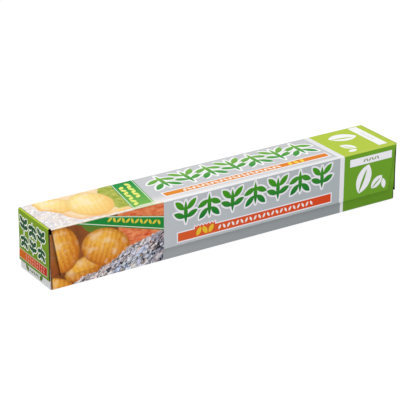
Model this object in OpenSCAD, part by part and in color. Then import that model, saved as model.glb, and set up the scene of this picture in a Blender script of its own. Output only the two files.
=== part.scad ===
// Kitchen foil in its dispenser carton: a folded card tray with a hinged lid and front flap,
// a toothed paper cutter inside the flap, and the foil wound on a paper core.
// X runs along the roll, -Y is the front, Z is up. The origin is under the middle of the carton.

/* [Roll] */
// Width of the foil
foil_w = 250; // [150:5:450]
// Thickness of the wound foil from the core to the outer turn
foil_build = 1.05; // [0.6:0.05:5]
// Bore of the core tube
core_bore = 26; // [16:0.5:40]
// Wall of the core tube
core_wall = 1; // [0.6:0.1:2]
// Length of the core tube that shows past the foil at each end
core_overhang = 1; // [0.4:0.1:3]
// Radial gap between the core tube and the first turn
core_fit = 0.05; // [0.02:0.01:0.1]
// Bands of turns that show on the roll's ends
turn_bands = 6; // [2:1:10]
// Greatest sideways wander of a band of turns
turn_wander = 0.35; // [0.1:0.05:0.8]
// Length of the loose tail of the outer turn
tail_len = 16; // [8:1:18]
// Amount that the loose tail's bend is wider than the roll's radius
tail_spring = 7; // [2:0.5:12]
// Thickness that the loose tail is drawn with
tail_t = 0.2; // [0.1:0.05:0.4]

/* [Carton] */
// Thickness of the card
board_t = 0.4; // [0.3:0.05:0.8]
// Radius on the inside of each fold
fold_inner_r = 0.2; // [0.1:0.05:0.5]
// Free length at each end of the foil, up to the dust flaps
end_play = 3.8; // [3.3:0.1:10]
// Free depth beside the roll, both sides together
depth_play = 7.8; // [5:0.1:20]
// Gap under the resting roll
roll_seat = 0.2; // [0.1:0.05:0.4]
// Free height between the roll and the lid
head_room = 8.8; // [5:0.1:20]
// Distance from the lid's top face down to the front wall's upper edge
front_drop = 4; // [2:0.1:8]
// Gap between the free edges of the two dust flaps
dust_gap = 4; // [1:0.5:12]
// Amount that a dust flap's edges run in towards its free edge
dust_taper = 2; // [0.5:0.1:5]
// Gap between a dust flap and the card above or below it
dust_clear = 0.5; // [0.3:0.1:2]
// Amount that the bottom end flap's sides run in towards its top
glue_flap_taper = 1.5; // [0.5:0.1:6]
// Height of the strip left bare under the outer end flap
end_show = 6; // [3:0.1:14]
// Distance that the end flaps' upright edges stand back from the carton's corners
end_flap_set = 0.3; // [0.1:0.05:1]
// Height over which the outer end flap springs away from the strip
lip_h = 12; // [4:0.5:18]
// Distance that the outer end flap's lower edge springs out
lip_lift = 0.45; // [0.1:0.05:1]
// Flat width of the outer end flap's return on the top of the carton, past its fold
return_flat = 0.3; // [0.2:0.1:5]

/* [Lid and flap] */
// Cut between the lid and the returns at its ends
lid_gap = 0.3; // [0.2:0.05:1]
// Height of the front wall left bare under the flap
front_show = 8.2; // [4:0.1:14]
// Distance that each end of the flap slants inwards towards its lower edge
flap_slant = 5.2; // [1:0.1:12]
// Radius of the flap's lower corners
flap_corner_r = 1; // [0.5:0.1:4]

/* [Cutter] */
// Thickness of the paper cutter
cutter_t = 0.5; // [0.3:0.05:0.8]
// Height of the cutter's body above the roots of its teeth
cutter_h = 7; // [4:0.5:10]
// Distance from each lower corner of the flap to the cutter
cutter_margin = 5; // [3:0.5:20]
// Pitch of the teeth
tooth_pitch = 2.5; // [1.5:0.1:5]
// Height of a tooth
tooth_h = 1.5; // [0.6:0.1:3]
// Distance that the tooth tips reach below the flap's edge
tooth_reach = 0.4; // [0.2:0.1:1]
// Gap between the cutter and the front wall
cutter_gap = 0.3; // [0.2:0.05:0.8]

/* [Hidden] */
$fn = 96;

fold_r = board_t + fold_inner_r;
core_r = core_bore / 2 + core_wall;
roll_r = core_r + core_fit + foil_build;
tail_bend_r = roll_r + tail_spring;

// Half lengths along X, from the roll outwards
end_layers = 3;
inner_half_l = foil_w / 2 + end_play;
wall_x = inner_half_l + board_t;
glue_flap_x = wall_x + board_t;
half_l = inner_half_l + end_layers * board_t;
return_x = half_l - fold_r - return_flat;
lid_half_l = return_x - lid_gap;

// Depth along Y: the flap and the cutter stand in front of the front wall
front_offset = board_t + cutter_t + cutter_gap;
inner_d = 2 * (roll_r + depth_play / 2);
carton_d = inner_d + 2 * board_t + front_offset;
flap_y = -carton_d / 2;
front_y = flap_y + front_offset;
back_y = carton_d / 2;
roll_y = (front_y + back_y) / 2;

// Heights along Z
roll_z = board_t + roll_seat + roll_r;
carton_h = roll_z + roll_r + head_room + board_t;
front_top_z = carton_h - front_drop;
lid_fold_z = carton_h - fold_r;

// Extrusions of a flat drawing along each axis, between two stations
module along_x(from, to) {
    translate([from, 0, 0]) rotate([90, 0, 90]) linear_extrude(to - from) children();
}
module along_y(from, to) {
    translate([0, to, 0]) rotate([90, 0, 0]) linear_extrude(to - from) children();
}
module along_z(from, to) {
    translate([0, 0, from]) linear_extrude(to - from) children();
}

// Section of a right-angled fold, in the quarter where both coordinates are positive
module fold_section() {
    intersection() {
        difference() {
            circle(r = fold_r);
            circle(r = fold_inner_r);
        }
        square(fold_r);
    }
}

module rect(from, to) {
    translate(from) square(to - from);
}

module both_ends() {
    children();
    mirror([1, 0, 0]) children();
}

// Front wall, bottom and back wall as one bent strip, seen along X
module tray_section() {
    rect([front_y, fold_r], [front_y + board_t, front_top_z]);
    translate([front_y + fold_r, fold_r]) rotate(180) fold_section();
    rect([front_y + fold_r, 0], [back_y - fold_r, board_t]);
    translate([back_y - fold_r, fold_r]) rotate(-90) fold_section();
    rect([back_y - board_t, fold_r], [back_y, lid_fold_z]);
}

// Dust flap folded in from one wall: the wall's outer face, the direction inwards and the wall's top
module dust_flap(wall_y, inwards, top_z) {
    free_y = wall_y + inwards * (board_t + (inner_d - dust_gap) / 2);
    root_y = wall_y + inwards * fold_r;
    low_z = board_t + dust_clear;
    high_z = top_z - dust_clear;
    along_z(fold_r, top_z)
        translate([wall_x - fold_r, root_y]) rotate(inwards > 0 ? -90 : 0) fold_section();
    along_x(inner_half_l, wall_x)
        polygon([
            [root_y, low_z],
            [free_y, low_z + dust_taper],
            [free_y, high_z - dust_taper],
            [root_y, high_z]
        ]);
}

// Flap folded up from the bottom, glued behind the outer end flap
module glue_flap() {
    low_y = front_y + fold_r;
    high_y = back_y - fold_r;
    top_z = lid_fold_z - dust_clear;
    along_y(low_y, high_y) {
        rect([wall_x - fold_r, 0], [glue_flap_x - fold_r, board_t]);
        translate([glue_flap_x - fold_r, fold_r]) rotate(-90) fold_section();
    }
    along_x(wall_x, glue_flap_x)
        polygon([
            [low_y, fold_r],
            [high_y, fold_r],
            [high_y - glue_flap_taper, top_z],
            [low_y + glue_flap_taper, top_z]
        ]);
}

// Outer end flap, its sprung lower lip, and its return on the top
module outer_end_flap() {
    low_y = front_y + end_flap_set;
    high_y = back_y - end_flap_set;
    lip_z = end_show + lip_h;
    along_y(low_y, high_y)
        polygon([
            [half_l - board_t, lid_fold_z],
            [half_l, lid_fold_z],
            [half_l, lip_z],
            [half_l + lip_lift, end_show],
            [half_l + lip_lift - board_t, end_show],
            [half_l - board_t, lip_z]
        ]);
    along_y(low_y, back_y - fold_r) {
        translate([half_l - fold_r, lid_fold_z]) fold_section();
        rect([return_x, carton_h - board_t], [half_l - fold_r, carton_h]);
    }
    along_x(return_x, half_l - fold_r)
        translate([back_y - fold_r, lid_fold_z]) fold_section();
}

module carton_body() {
    color([0.48, 0.62, 0.24]) {
        along_x(fold_r - wall_x, wall_x - fold_r) tray_section();
        both_ends() {
            dust_flap(front_y, 1, front_top_z);
            dust_flap(back_y, -1, lid_fold_z);
            glue_flap();
            outer_end_flap();
        }
    }
}

// Top panel with the bend of the fold at its front and back edges
module lid_panel() {
    color([0.73, 0.81, 0.36])
        along_x(-lid_half_l, lid_half_l) {
            translate([flap_y + fold_r, lid_fold_z]) rotate(90) fold_section();
            rect([flap_y + fold_r, carton_h - board_t], [back_y - fold_r, carton_h]);
            translate([back_y - fold_r, lid_fold_z]) fold_section();
        }
}

// One half of the flap's outline, from the middle of its lower edge round to the fold line
function flap_side() =
    let (
        slant_angle = atan(flap_slant / (lid_fold_z - front_show)),
        low_half_l = lid_half_l - flap_slant,
        corner_x = low_half_l - flap_corner_r * tan((90 - slant_angle) / 2),
        corner_z = front_show + flap_corner_r,
        steps = 8
    )
    concat(
        [for (i = [0 : steps])
            let (a = -90 + i * (90 - slant_angle) / steps)
            [corner_x + flap_corner_r * cos(a), corner_z + flap_corner_r * sin(a)]],
        [[lid_half_l, lid_fold_z]]
    );

module front_flap() {
    side = flap_side();
    last = len(side) - 1;
    color([0.7, 0.72, 0.74])
        along_y(flap_y, flap_y + board_t)
            polygon(concat(side, [for (i = [last : -1 : 0]) [-side[i][0], side[i][1]]]));
}

// Saw-toothed strip glued inside the flap, tips down
module cutter_strip() {
    span = 2 * (lid_half_l - flap_slant - cutter_margin);
    teeth = floor(span / tooth_pitch);
    half_w = teeth * tooth_pitch / 2;
    tip_z = front_show - tooth_reach;
    root_z = tip_z + tooth_h;
    color([0.8, 0.74, 0.62])
        along_y(flap_y + board_t, flap_y + board_t + cutter_t)
            polygon(concat(
                [[-half_w, root_z + cutter_h], [-half_w, root_z]],
                [for (i = [0 : teeth - 1], k = [0, 1])
                    [-half_w + (i + (1 + k) / 2) * tooth_pitch, k == 0 ? tip_z : root_z]],
                [[half_w, root_z + cutter_h]]
            ));
}

// Foil as one solid: bands of turns wander sideways at the ends, and the outer turn's tail is loose
function band_r(i) = core_r + core_fit + foil_build * i / turn_bands;
function band_shift(i) = turn_wander * sin(140 * i);

module wound_foil() {
    rotate([0, 90, 0])
        rotate_extrude()
            polygon(concat(
                [for (i = [0 : turn_bands - 1], k = [0, 1])
                    [band_r(i + k), foil_w / 2 + band_shift(i)]],
                [for (i = [turn_bands - 1 : -1 : 0], k = [1, 0])
                    [band_r(i + k), -foil_w / 2 + band_shift(i)]]
            ));
}

// The tail leaves the roll at its top and springs towards the front
module loose_tail() {
    tail_angle = tail_len / tail_bend_r * 180 / PI;
    reach = 2 * tail_bend_r;
    along_x(-foil_w / 2, foil_w / 2)
        translate([0, roll_r - tail_bend_r])
            intersection() {
                difference() {
                    circle(r = tail_bend_r);
                    circle(r = tail_bend_r - tail_t);
                }
                polygon([[0, 0], [0, reach], [-reach * sin(tail_angle), reach * cos(tail_angle)]]);
            }
}

module foil_roll() {
    color([0.78, 0.79, 0.8])
        translate([0, roll_y, roll_z]) {
            wound_foil();
            loose_tail();
        }
}

module core_tube() {
    core_l = foil_w + 2 * core_overhang;
    color([0.66, 0.52, 0.37])
        translate([-core_l / 2, roll_y, roll_z])
            rotate([0, 90, 0])
                difference() {
                    cylinder(h = core_l, r = core_r);
                    translate([0, 0, -1]) cylinder(h = core_l + 2, d = core_bore);
                }
}

carton_body();
lid_panel();
front_flap();
cutter_strip();
foil_roll();
core_tube();
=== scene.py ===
import math

import bpy
from mathutils import Matrix, Vector


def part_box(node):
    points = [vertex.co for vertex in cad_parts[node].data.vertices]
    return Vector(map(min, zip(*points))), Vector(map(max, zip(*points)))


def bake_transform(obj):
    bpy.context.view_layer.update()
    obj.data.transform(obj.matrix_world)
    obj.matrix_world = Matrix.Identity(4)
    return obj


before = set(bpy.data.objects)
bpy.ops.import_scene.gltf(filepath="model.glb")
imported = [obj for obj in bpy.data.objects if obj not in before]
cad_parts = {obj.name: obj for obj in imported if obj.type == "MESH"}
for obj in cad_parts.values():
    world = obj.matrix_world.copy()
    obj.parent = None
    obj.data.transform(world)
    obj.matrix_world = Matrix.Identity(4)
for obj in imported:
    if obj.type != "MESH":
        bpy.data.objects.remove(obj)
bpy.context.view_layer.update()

MM = 0.001

# Carton planes in millimetres, read from the model's parts
lid_low, lid_high = (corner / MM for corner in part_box("lid_panel"))
flap_low, flap_high = (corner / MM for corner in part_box("front_flap"))
body_low, body_high = (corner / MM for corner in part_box("carton_body"))
TOP_Z = lid_high.z
FLAP_Y = lid_low.y
BACK_Y = lid_high.y
WALL_Y = body_low.y
FLAP_EDGE_Z = flap_low.z
FLAP_TOP_X = flap_high.x
FOLD_R = TOP_Z - flap_high.z
FOLD_Z = TOP_Z - FOLD_R
END_X = body_high.x

# Measures in millimetres that the model's parts don't give: slant of the flap's ends, top of the
# bare strip on the carton's ends, how deep the ends' print and the other prints reach, how far
# before the end of its bend the front wall's print stops, and the pitch and half the width of
# the core's seam
FLAP_SLANT = 5.2
FLAP_LOW_X = FLAP_TOP_X - FLAP_SLANT
END_STRIP_Z = 6.0
STRIP_BACK = 1.0
PRINT_DEPTH = 0.25
BEND_MARGIN = 0.05
SEAM_PITCH, SEAM_REACH = 60.0, 0.25

# Crease strips in millimetres: how far inside the lid's ends and the card's faces they stay,
# how far they reach below and above the start of the bend, and how many rows of faces they have
CREASE_INSET = 0.1
CREASE_OUTER, CREASE_INNER = 0.05, 0.35
CREASE_BELOW, CREASE_ABOVE = 0.25, 0.15
CREASE_ROWS = 12

# Camera: the photograph's viewing angle, in degrees and millimetres, and its clipping in metres
CAMERA_AZIMUTH = -33.11
CAMERA_ELEVATION = 23.68
CAMERA_ROLL = 0.32
CAMERA_DISTANCE = 1148.8
CAMERA_SIDE = -5.08
CAMERA_RISE = -3.3
CAMERA_LENS = 156.5
CAMERA_CLIP = (0.05, 20.0)
SENSOR_WIDTH = 36.0

# Studio. A lamp is its place and width in metres and its power in watts
WORLD_LEVEL = 0.6
KEY_LIGHT = ((-0.25, -0.35, 1.3), 0.9, 7.4)
FILL_LIGHT = ((-0.9, -0.9, 0.5), 0.8, 1.5)
FLOOR_REACH = 6.0
FLOOR_DROP = 0.0002
FLOOR_COLOUR = (0.8, 0.8, 0.8, 1.0)
FLOOR_SHADE = (0.22, 0.22, 0.22, 1.0)
FLOOR_GLOW = 0.85

# Stations of the printed design along the carton, in millimetres from its middle
PICTURE_END = -51.2
FRONT_STRIPE = (82.8, 86.3)
WALL_STRIPE = (84.6, 87.1)
TOP_STRIPE = (81.9, 85.9)
SPRAY_SPAN, SPRAY_COUNT = (-44.0, 77.0), 7

# Printed shapes, in millimetres and degrees on their own face:
# a line is two points, a disc is its centre and radius, and a rectangle is its two spans;
# a leaf is its centre, length, width and angle, and a sprout its centre, length and angle;
# rounded food is its centre, half lengths and angle;
# a row of sprays is its span, middle, the height of a spray and their count, and where they
# differ from the usual also 1 or -1 for the way up and the relative width of the leaves;
# a row of marks is its span, middle and count, and the length, width and lean of a mark.
FRONT_LEAF = ((-99.0, 34.5), 22.0, 8.0, -24)
SALMON_DISC = ((-56.0, 36.0), 28.0)
FRONT_FOOD = (
    ((-126.0, 1.0), (13.0, 6.0), -20),
    ((-106.0, 9.5), (14.5, 8.0), 12),
    ((-122.0, 25.0), (11.5, 15.0), 14),
    ((-92.0, 20.0), (17.5, 12.0), -22),
)
HEAP_UPPER = ((-51.0, 22.2), (-75.6, 16.7))
HEAP_LOWER = ((-75.6, 16.7), (-99.0, 3.6))
HEAP_TIP = ((-104.0, -1.0), 30.0, 10.0, 8)
HEAP_RAGGED = 5.0
RIBBON_LOWER = ((-112.3, 39.2), (-51.2, 21.2))
RIBBON_UPPER = ((-51.2, 30.7), (-93.0, 40.5))
RIBBON_ALONG, RIBBON_ACROSS = (0.963, -0.27, 0.0), (0.27, 0.963, 0.0)
RIBBON_MARKS = ((-97.5, -58.5), 11.6, 12, 3.9, 1.7, 52)
FRONT_SPRAYS = (SPRAY_SPAN, 29.9, 15.4, SPRAY_COUNT)
FRONT_BANNER = ((-41.1, 75.9), (10.6, 16.3))
SAW_SPAN = (-28.75, -13.75)
SAW_ROOT, SAW_BASE, SAW_TOOTH = 12.0, 17.3, 1.25
FRONT_BANNER_MARKS = ((-12.0, 62.0), 13.45, 22, 3.5, 1.55, 60)
FRONT_BANNER_GOLD = ((-28.0, -14.5), 14.2, 3, 6.2, 3.2, 60)
FRONT_LABEL = ((90.9, 125.2), (31.0, 36.3))
FRONT_LABEL_MARKS = ((101.6, 114.8), 33.6, 6, 2.9, 1.2, 60)
FRONT_SPROUTS = (((102.6, 20.6), 20.5, 68), ((113.4, 16.2), 11.5, 40))
FRONT_LEAFLET = ((119.2, 14.0), 7.4, 3.6, 100)

TOP_LEAF = ((-72.0, 4.0), 44.0, 19.0, 78)
TOP_FOOD = (
    ((-80.0, -19.0), (12.0, 5.0), 8),
    ((-112.0, 10.0), (15.0, 11.0), -30),
    ((-90.5, 1.0), (14.5, 17.5), -18),
)
TOP_FOIL_SIDE = ((-105.9, -14.7), (-123.2, 11.8))
TOP_FOIL_FRONT = ((-60.0, -19.6), (-105.9, -15.2))
TOP_FOIL_END = -121.5
TOP_FOIL_WAVE = 10.0
TOP_RIBBON, TOP_RIBBON_LEAN = (-69.4, -53.2), -0.172
TOP_RIBBON_MARKS = (((-15.5, 14.0), -64.6, 7, 4.6, 2.9, 40), ((-6.0, 17.0), -59.2, 6, 4.6, 2.9, 40))
TOP_SPRAYS = (SPRAY_SPAN, 6.8, 19.4, SPRAY_COUNT, -1.0, 0.21)
TOP_BANNER = ((-45.2, 78.6), (-13.4, -8.4))
TOP_BANNER_MARKS = ((-32.0, 42.0), -10.9, 22, 4.0, 2.3, 60)
TOP_BANNER_GOLD = ((47.0, 61.0), -10.9, 3, 4.6, 2.8, 60)
TOP_LABEL = ((117.4, 124.3), (-15.9, 18.6))
TOP_LABEL_MARKS = ((-6.0, 9.0), 120.8, 6, 2.9, 1.1, 60)
TOP_SPROUTS = (((104.8, 7.6), 20.5, -12), ((98.4, -7.4), 11.5, -48))
TOP_LEAFLET = ((97.0, -14.4), 7.4, 3.6, 8)

END_SPRAYS = (((-14.4, 18.6), 31.1, 9.4, 3, 1.0, 0.3), ((-14.2, 18.4), 20.3, 8.8, 3, -1.0, 0.3))
END_BANNER = ((-15.6, 20.6), (7.9, 13.3))
END_MARKS = (((-13.0, 12.0), 11.7, 9, 2.3, 1.1, 60), ((-13.0, 12.0), 9.4, 9, 2.3, 1.1, 60))
END_LEAVES = (((10.8, 3.2), 5.4, 3.0, 40), ((-6.6, 3.2), 5.4, 3.0, 140))
END_STRIP_MARKS = ((-3.4, 7.6), 2.9, 5, 2.6, 1.3, 60)

REAR_PANEL, REAR_PANEL_ROUNDING = ((-42.0, 75.0), (9.0, 30.0)), 1.5
REAR_BAR = ((-43.5, 76.5), (26.5, 31.5))
REAR_MARKS = (
    ((-38.0, 71.0), 21.5, 36, 2.6, 1.0, 60),
    ((-38.0, 71.0), 17.0, 36, 2.6, 1.0, 60),
    ((-38.0, 32.0), 12.5, 23, 2.6, 1.0, 60),
)
REAR_SPRAYS = ((-121.0, -57.0), 20.0, 15.4, 4)

# Proportions of a spray of height one and of a sprout of length one. A leaf of a spray is its
# centre, length, width against the width given for its row, and angle
SPRAY_UPPER = ((0.28, 0.28), 0.6, 1.05, 44)
SPRAY_LOWER = ((0.29, -0.14), 0.6, 1.0, 24)
SPRAY_STEM = ((0.0, -0.03), 1.0, 0.75, 90)
SPROUT_WIDTH = 0.56
RIB_SHIFT, RIB_LENGTH, RIB_WIDTH = (0.04, 0.06), 0.84, 0.09

# Fades of the inks, edges round the shapes, and lines, in millimetres. A rule is its distance
# inside the ribbon's edge and its width
SILVER_DRIFT = 24.0
FRONT_SPRAY_FADE, FRONT_BANNER_FADE = (22.0, 38.0), (-41.0, 76.0)
TOP_SPRAY_FADE, TOP_BANNER_FADE, TOP_RIBBON_FADE = (-3.0, 17.0), (-45.0, 70.0), (-14.0, 14.0)
# Where the painted sheen on the top's silver fades, across and along the carton
TOP_SHEEN_ACROSS, TOP_SHEEN_ALONG = (-10.0, -17.0), (95.0, -50.0)
END_FIELD_FADE, END_BANNER_FADE = (8.0, 38.0), (-2.0, 34.0)
FRONT_SPRAY_RIM, TOP_SPRAY_RIM, END_SPRAY_RIM = 1.15, 1.3, 0.65
FRONT_BANNER_RIM, TOP_BANNER_RIM, END_BANNER_RIM = 0.8, 0.9, 0.45
LOWER_RULE, UPPER_RULE, TOP_RULE = (0.9, 0.5), (0.6, 0.5), (0.9, 0.55)
FOIL_RIGHT_FADE, FOIL_DEEP_FADE, FOIL_RIM_FADE = (-75.0, -53.0), (-3.0, -10.0), (-2.6, -0.4)
FRINGE_FADE = (4.5, 0.5)

# Print rubbed pale along the front fold, with a painted highlight: where it widens and narrows
# again, its width past the usual, its fade, and its share of white. The low part of the bend is
# told by its normal
WEAR_SHEEN_WIDENS, WEAR_SHEEN_NARROWS = (-74.0, -66.0), (-57.0, -50.0)
WEAR_SHEEN_AT_RIBBON, WEAR_SHEEN_ON_SILVER = 2.4, 1.0
WEAR_SHEEN_FADE = (1.8, 0.4)
WEAR_SHEEN_SHARE, WEAR_SHEEN_SHARE_ON_GREEN = 0.72, 0.03
LOW_BEND = (0.8, 0.3)

# Front wall: levels of its silver and green against the flap's, as painted shade, its brown
# corner of painted shade, and the painted shadow lines at its folds and at the flap's slanted cuts
WALL_SILVER_SHADE = 0.72
WALL_GREEN_SHADE, WALL_GREEN_BESIDE = 0.84, 1.05
WALL_BESIDE_X, WALL_BESIDE_RISE = (112.0, 124.0), 3.0
WALL_SHADED_CORNER, WALL_SHADED_CORNER_SHARE = ((-140.0, -117.0), (9.0, 50.0)), 0.85
FOLD_SHADOW, FOLD_SHADOW_WIDER = 1.3, 0.75
FOLD_SHADOW_DEEP, FOLD_SHADOW_SHALLOW = 0.7, 0.45
CUT_SHADOW_FADE, CUT_SHADOW_TOP = (0.7, 0.3), 2.0
CUT_SHADOW_LEFT, CUT_SHADOW_RIGHT = 0.75, 0.3


def srgb(code):
    """Linear colour of a six-digit sRGB code."""
    values = [int(code[i : i + 2], 16) / 255 for i in (0, 2, 4)]
    return tuple(v / 12.92 if v <= 0.04045 else ((v + 0.055) / 1.055) ** 2.4 for v in values)


# Inks and papers as linear colours. A pair is the two ends of a fade or of a mottled field
WHITE_INK = (0.88, 0.87, 0.92)
# The front's silver is lighter at the left than at the right, a painted shade
SILVER_LEFT, SILVER_RIGHT = (0.54, 0.57, 0.6), (0.455, 0.5, 0.525)
GREEN_INK = (0.165, 0.38, 0.025)
LIME_INK = (0.485, 0.62, 0.052)

FOOD_GROUND = ((0.1, 0.03, 0.015), (0.42, 0.13, 0.03))
FRONT_LEAF_INK = (0.13, 0.22, 0.03)
SALMON_INKS = ((0.62, 0.055, 0.015), (0.97, 0.37, 0.155))
FOIL_INKS = ((0.034, 0.024, 0.025), (0.95, 0.85, 0.83))
FOIL_RIGHT, FOIL_DEEP, FOIL_RIM = (0.75, 0.67, 0.68), (0.94, 1.09, 1.17), (0.66, 0.62, 0.62)
BLUE_CAST, WARM_CAST = (0.72, 0.9, 1.25), (1.2, 0.96, 0.82)
RIBBON_INK = srgb("1f8a3c")
RIBBON_RULE_INK = (0.8, 0.88, 0.72)
RIBBON_MARK_INK = (0.76, 0.62, 0.06)
FRONT_SPRAY_INKS = (srgb("067636"), srgb("4d9e18"))
FRONT_BANNER_INKS = ((0.73, 0.115, 0.028), (0.74, 0.07, 0.016))
FRONT_BANNER_MARK_INK = (0.92, 0.86, 0.84)
FRONT_GOLD_INK = (0.85, 0.55, 0.04)
FRONT_LABEL_MARK_INK = (0.3, 0.36, 0.2)

# The top's silver, and its lighter colour under the painted sheen
TOP_SILVER, TOP_SILVER_SHEEN = (0.61, 0.62, 0.64), (0.86, 0.82, 0.83)
PALE_GROUND = ((0.95, 0.62, 0.3), (0.98, 0.84, 0.6))
TOP_LEAF_INKS = ((0.28, 0.36, 0.03), (0.56, 0.58, 0.12))
FRINGE_INK = (0.9, 0.43, 0.12)
PALE_FOIL_INKS = ((0.72, 0.64, 0.62), (0.94, 0.91, 0.84))
TOP_RIBBON_INKS = ((0.17, 0.47, 0.075), (0.012, 0.3, 0.055))
TOP_RULE_INK = (0.82, 0.9, 0.76)
TOP_RIBBON_MARK_INK = (0.86, 0.88, 0.2)
TOP_WHITE, TOP_STRIPE_WHITE = (0.98, 0.98, 0.99), (0.84, 0.84, 0.86)
TOP_SPRAY_INKS = (srgb("15903d"), srgb("86bb4a"))
TOP_BANNER_INKS = ((0.8, 0.265, 0.02), (0.8, 0.225, 0.015))
TOP_BANNER_MARK_INK = (0.97, 0.82, 0.7)
TOP_GOLD_INK = (0.97, 0.7, 0.05)
TOP_LABEL_MARK_INK = (0.7, 0.74, 0.62)
# Pale colours of the rubbed print and painted highlight on the front fold, brown low on its bend
WEAR_SHEEN_PICTURE, WEAR_SHEEN_LOW_BEND, WEAR_SHEEN_SILVER = (0.97, 0.9, 0.76), (0.4, 0.22, 0.1), (0.93, 0.93, 0.95)

END_FIELD_INKS = ((0.15, 0.28, 0.006), (0.215, 0.375, 0.008))
END_SPRAY_INK, END_SPRAY_EDGE = (0.008, 0.085, 0.022), (0.99, 1.0, 0.92)
END_BANNER_INKS, END_BANNER_EDGE = ((0.53, 0.015, 0.0), (0.7, 0.18, 0.0)), (0.6, 0.66, 0.45)
END_MARK_INK = (0.85, 0.36, 0.3)
END_STRIP_INK, END_STRIP_MARK_INK = (0.8, 0.8, 0.82), (0.12, 0.22, 0.025)

REAR_BAR_INK = (0.73, 0.1, 0.025)
REAR_MARK_INK = (0.24, 0.3, 0.24)
REAR_SPRAY_INK = srgb("2a8a28")

# Painted shade: the mottled brown of the wall's corner beside the flap
WALL_CORNER_SHADE_INKS = ((0.1, 0.025, 0.012), (0.5, 0.13, 0.03))
# Painted shadow beside the flap's slanted cuts
CUT_SHADOW_INK = (0.04, 0.012, 0.008)
# Multipliers of painted shade: the dark line at the wall's folds, and the darkened cut edges
FOLD_SHADOW_TINT, CUT_EDGE_SHADE = (0.16, 0.12, 0.1), (0.14, 0.12, 0.1)
BOARD = ((0.6, 0.58, 0.54), (0.72, 0.7, 0.66))
CREASED_BOARD = ((0.56, 0.54, 0.5), (0.8, 0.79, 0.76))
CUTTER_BOARD = ((0.55, 0.44, 0.28), (0.7, 0.6, 0.43))
CORE_PAPER, CORE_SEAM = ((0.32, 0.2, 0.11), (0.5, 0.35, 0.21)), (0.2, 0.12, 0.07)
FOIL_METAL = ((0.34, 0.345, 0.355), (0.54, 0.545, 0.55))

# Looks of the rounded food: its pale, deep and gloss colours, the strength of its ridges, and
# the level of its rim against the deep colour
FRONT_CRUST = (((0.95, 0.5, 0.065), (0.64, 0.19, 0.02), (0.98, 0.74, 0.46)), 0.22, 0.45)
TOP_CRUST = (((1.0, 0.86, 0.36), (0.95, 0.59, 0.17), (1.0, 0.85, 0.66)), 0.12, 0.85)
CRUST_LIGHT = (-0.3, 0.35, 0.0)
CRUST_TONE, CRUST_GLOSS, CRUST_RIM = (1.3, 0.1), (0.4, 0.58), (0.8, 1.02)
CRUST_UNEVEN, GLOSS_FALL, GLOSS_SHARE, RIM_SHARE = 1.1, 0.16, 0.55, 0.5
RIDGES_PER_MM, RIDGE_TILT, RIDGE_BEND = 1.9, 1.6, 9.0

# Creased foil: directions and scales of its facets, how far they bend, their tones, and the
# weights of the coarse and the fine ones. Each of the two foils is the size of its facets,
# its dark and bright inks, and the share of its blue and warm casts
FACETS_ALONG, FACETS_ACROSS = (0.7, 0.66, 0.0), (-1.4, 1.6, 0.0)
COARSE_FACETS, FINE_FACETS, FACET_BEND = 0.6, 1.7, 2.4
FACET_TONE, FACET_GLINT, GLINT_LEVEL = (0.25, 0.95), (0.78, 0.92), 1.3
COARSE_WEIGHT, FINE_WEIGHT = 0.5, 0.65
FRONT_FOIL, TOP_FOIL = (2.5, FOIL_INKS, 0.8), (3.0, PALE_FOIL_INKS, 0.3)

# Other levels and shares of the inks, and how much flatter than long the salmon's grain is
SILVER_LEVELS = (0.95, 1.05)
SALMON_TONE, SALMON_FLATNESS = (0.32, 0.68), 2.2
TOP_LEAF_TONE = (0.35, 0.65)
FOIL_RIM_SHARE, FRINGE_SHARE = 0.3, 0.6
FRONT_LEAVES_LEVEL = 1.08

# Noises: scale in features to a millimetre, detail and roughness
CRUST_NOISE, GLOSS_NOISE = (0.42, 4.0, 0.65), (0.16, 2.0, 0.5)
ALONG_NOISE, ACROSS_NOISE = (0.25, 2.0, 0.5), (0.3, 2.0, 0.5)
SILVER_NOISE = (0.02, 3.0, 0.5)
FOOD_NOISE, SALMON_NOISE, HEAP_NOISE = (0.12, 3.0, 0.5), (0.2, 4.0, 0.7), (0.35, 3.0, 0.5)
PALE_NOISE, TOP_LEAF_NOISE, TOP_FOIL_NOISE = (0.1, 3.0, 0.5), (0.25, 4.0, 0.7), (0.08, 2.0, 0.5)
CORNER_NOISE = (0.25, 3.0, 0.5)
BOARD_NOISE, WAVE_NOISE, GRAIN_NOISE = (0.9, 3.0, 0.5), (0.03, 2.0, 0.5), (2.2, 2.0, 0.5)
STREAK_NOISE, DENT_NOISE = (0.8, 3.0, 0.5), (0.09, 3.0, 0.5)
CORE_NOISE = (1.4, 4.0, 0.5)

# Finishes. A relief is its strength and its depth in millimetres, and a roughness in brackets
# is its spread and its least value. A stretch is the factor of each axis, and the fibres of a
# board are their noise, stretch, relief and roughness
CARD_SPECULAR = 0.05
BOARD_ROUGHNESS, PRINT_ROUGHNESS = 0.8, 0.45
CARD_RELIEF, GRAIN_HEIGHT = (0.25, 0.2), 0.05
STREAK_STRETCH, DENT_STRETCH = (1.0, 0.02, 0.02), (0.6, 1.0, 1.0)
STREAK_WEIGHT, DENT_WEIGHT, METAL_TONE = 0.4, 0.6, (0.36, 0.64)
STREAK_HEIGHT, FOIL_RELIEF, FOIL_ROUGHNESS = 0.015, (0.6, 2.0), (0.2, 0.28)
SEAM_SHARE, CORE_RELIEF, CORE_ROUGHNESS = 0.6, (0.4, 0.1), (0.2, 0.75)
CUTTER_FIBRES = ((2.0, 4.0, 0.5), (0.4, 1.0, 2.0), (0.3, 0.05), (0.2, 0.5))
CREASE_FIBRES = ((1.6, 4.0, 0.5), (0.6, 2.0, 2.0), (0.4, 0.08), (0.2, 0.75))

# Least part of a normal towards a side for a face to count as that side: a flat side, a side
# with most of its bends, the lid's top and the outside of its bends, and the front wall
FACING, BEND_FACING = 0.5, 0.4
LID_TOP_FACING, LID_BEND_FACING = 0.3, 0.7
WALL_FACING = 0.03


def shade(colour, factor):
    return tuple(min(1.0, value * factor) for value in colour)


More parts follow.
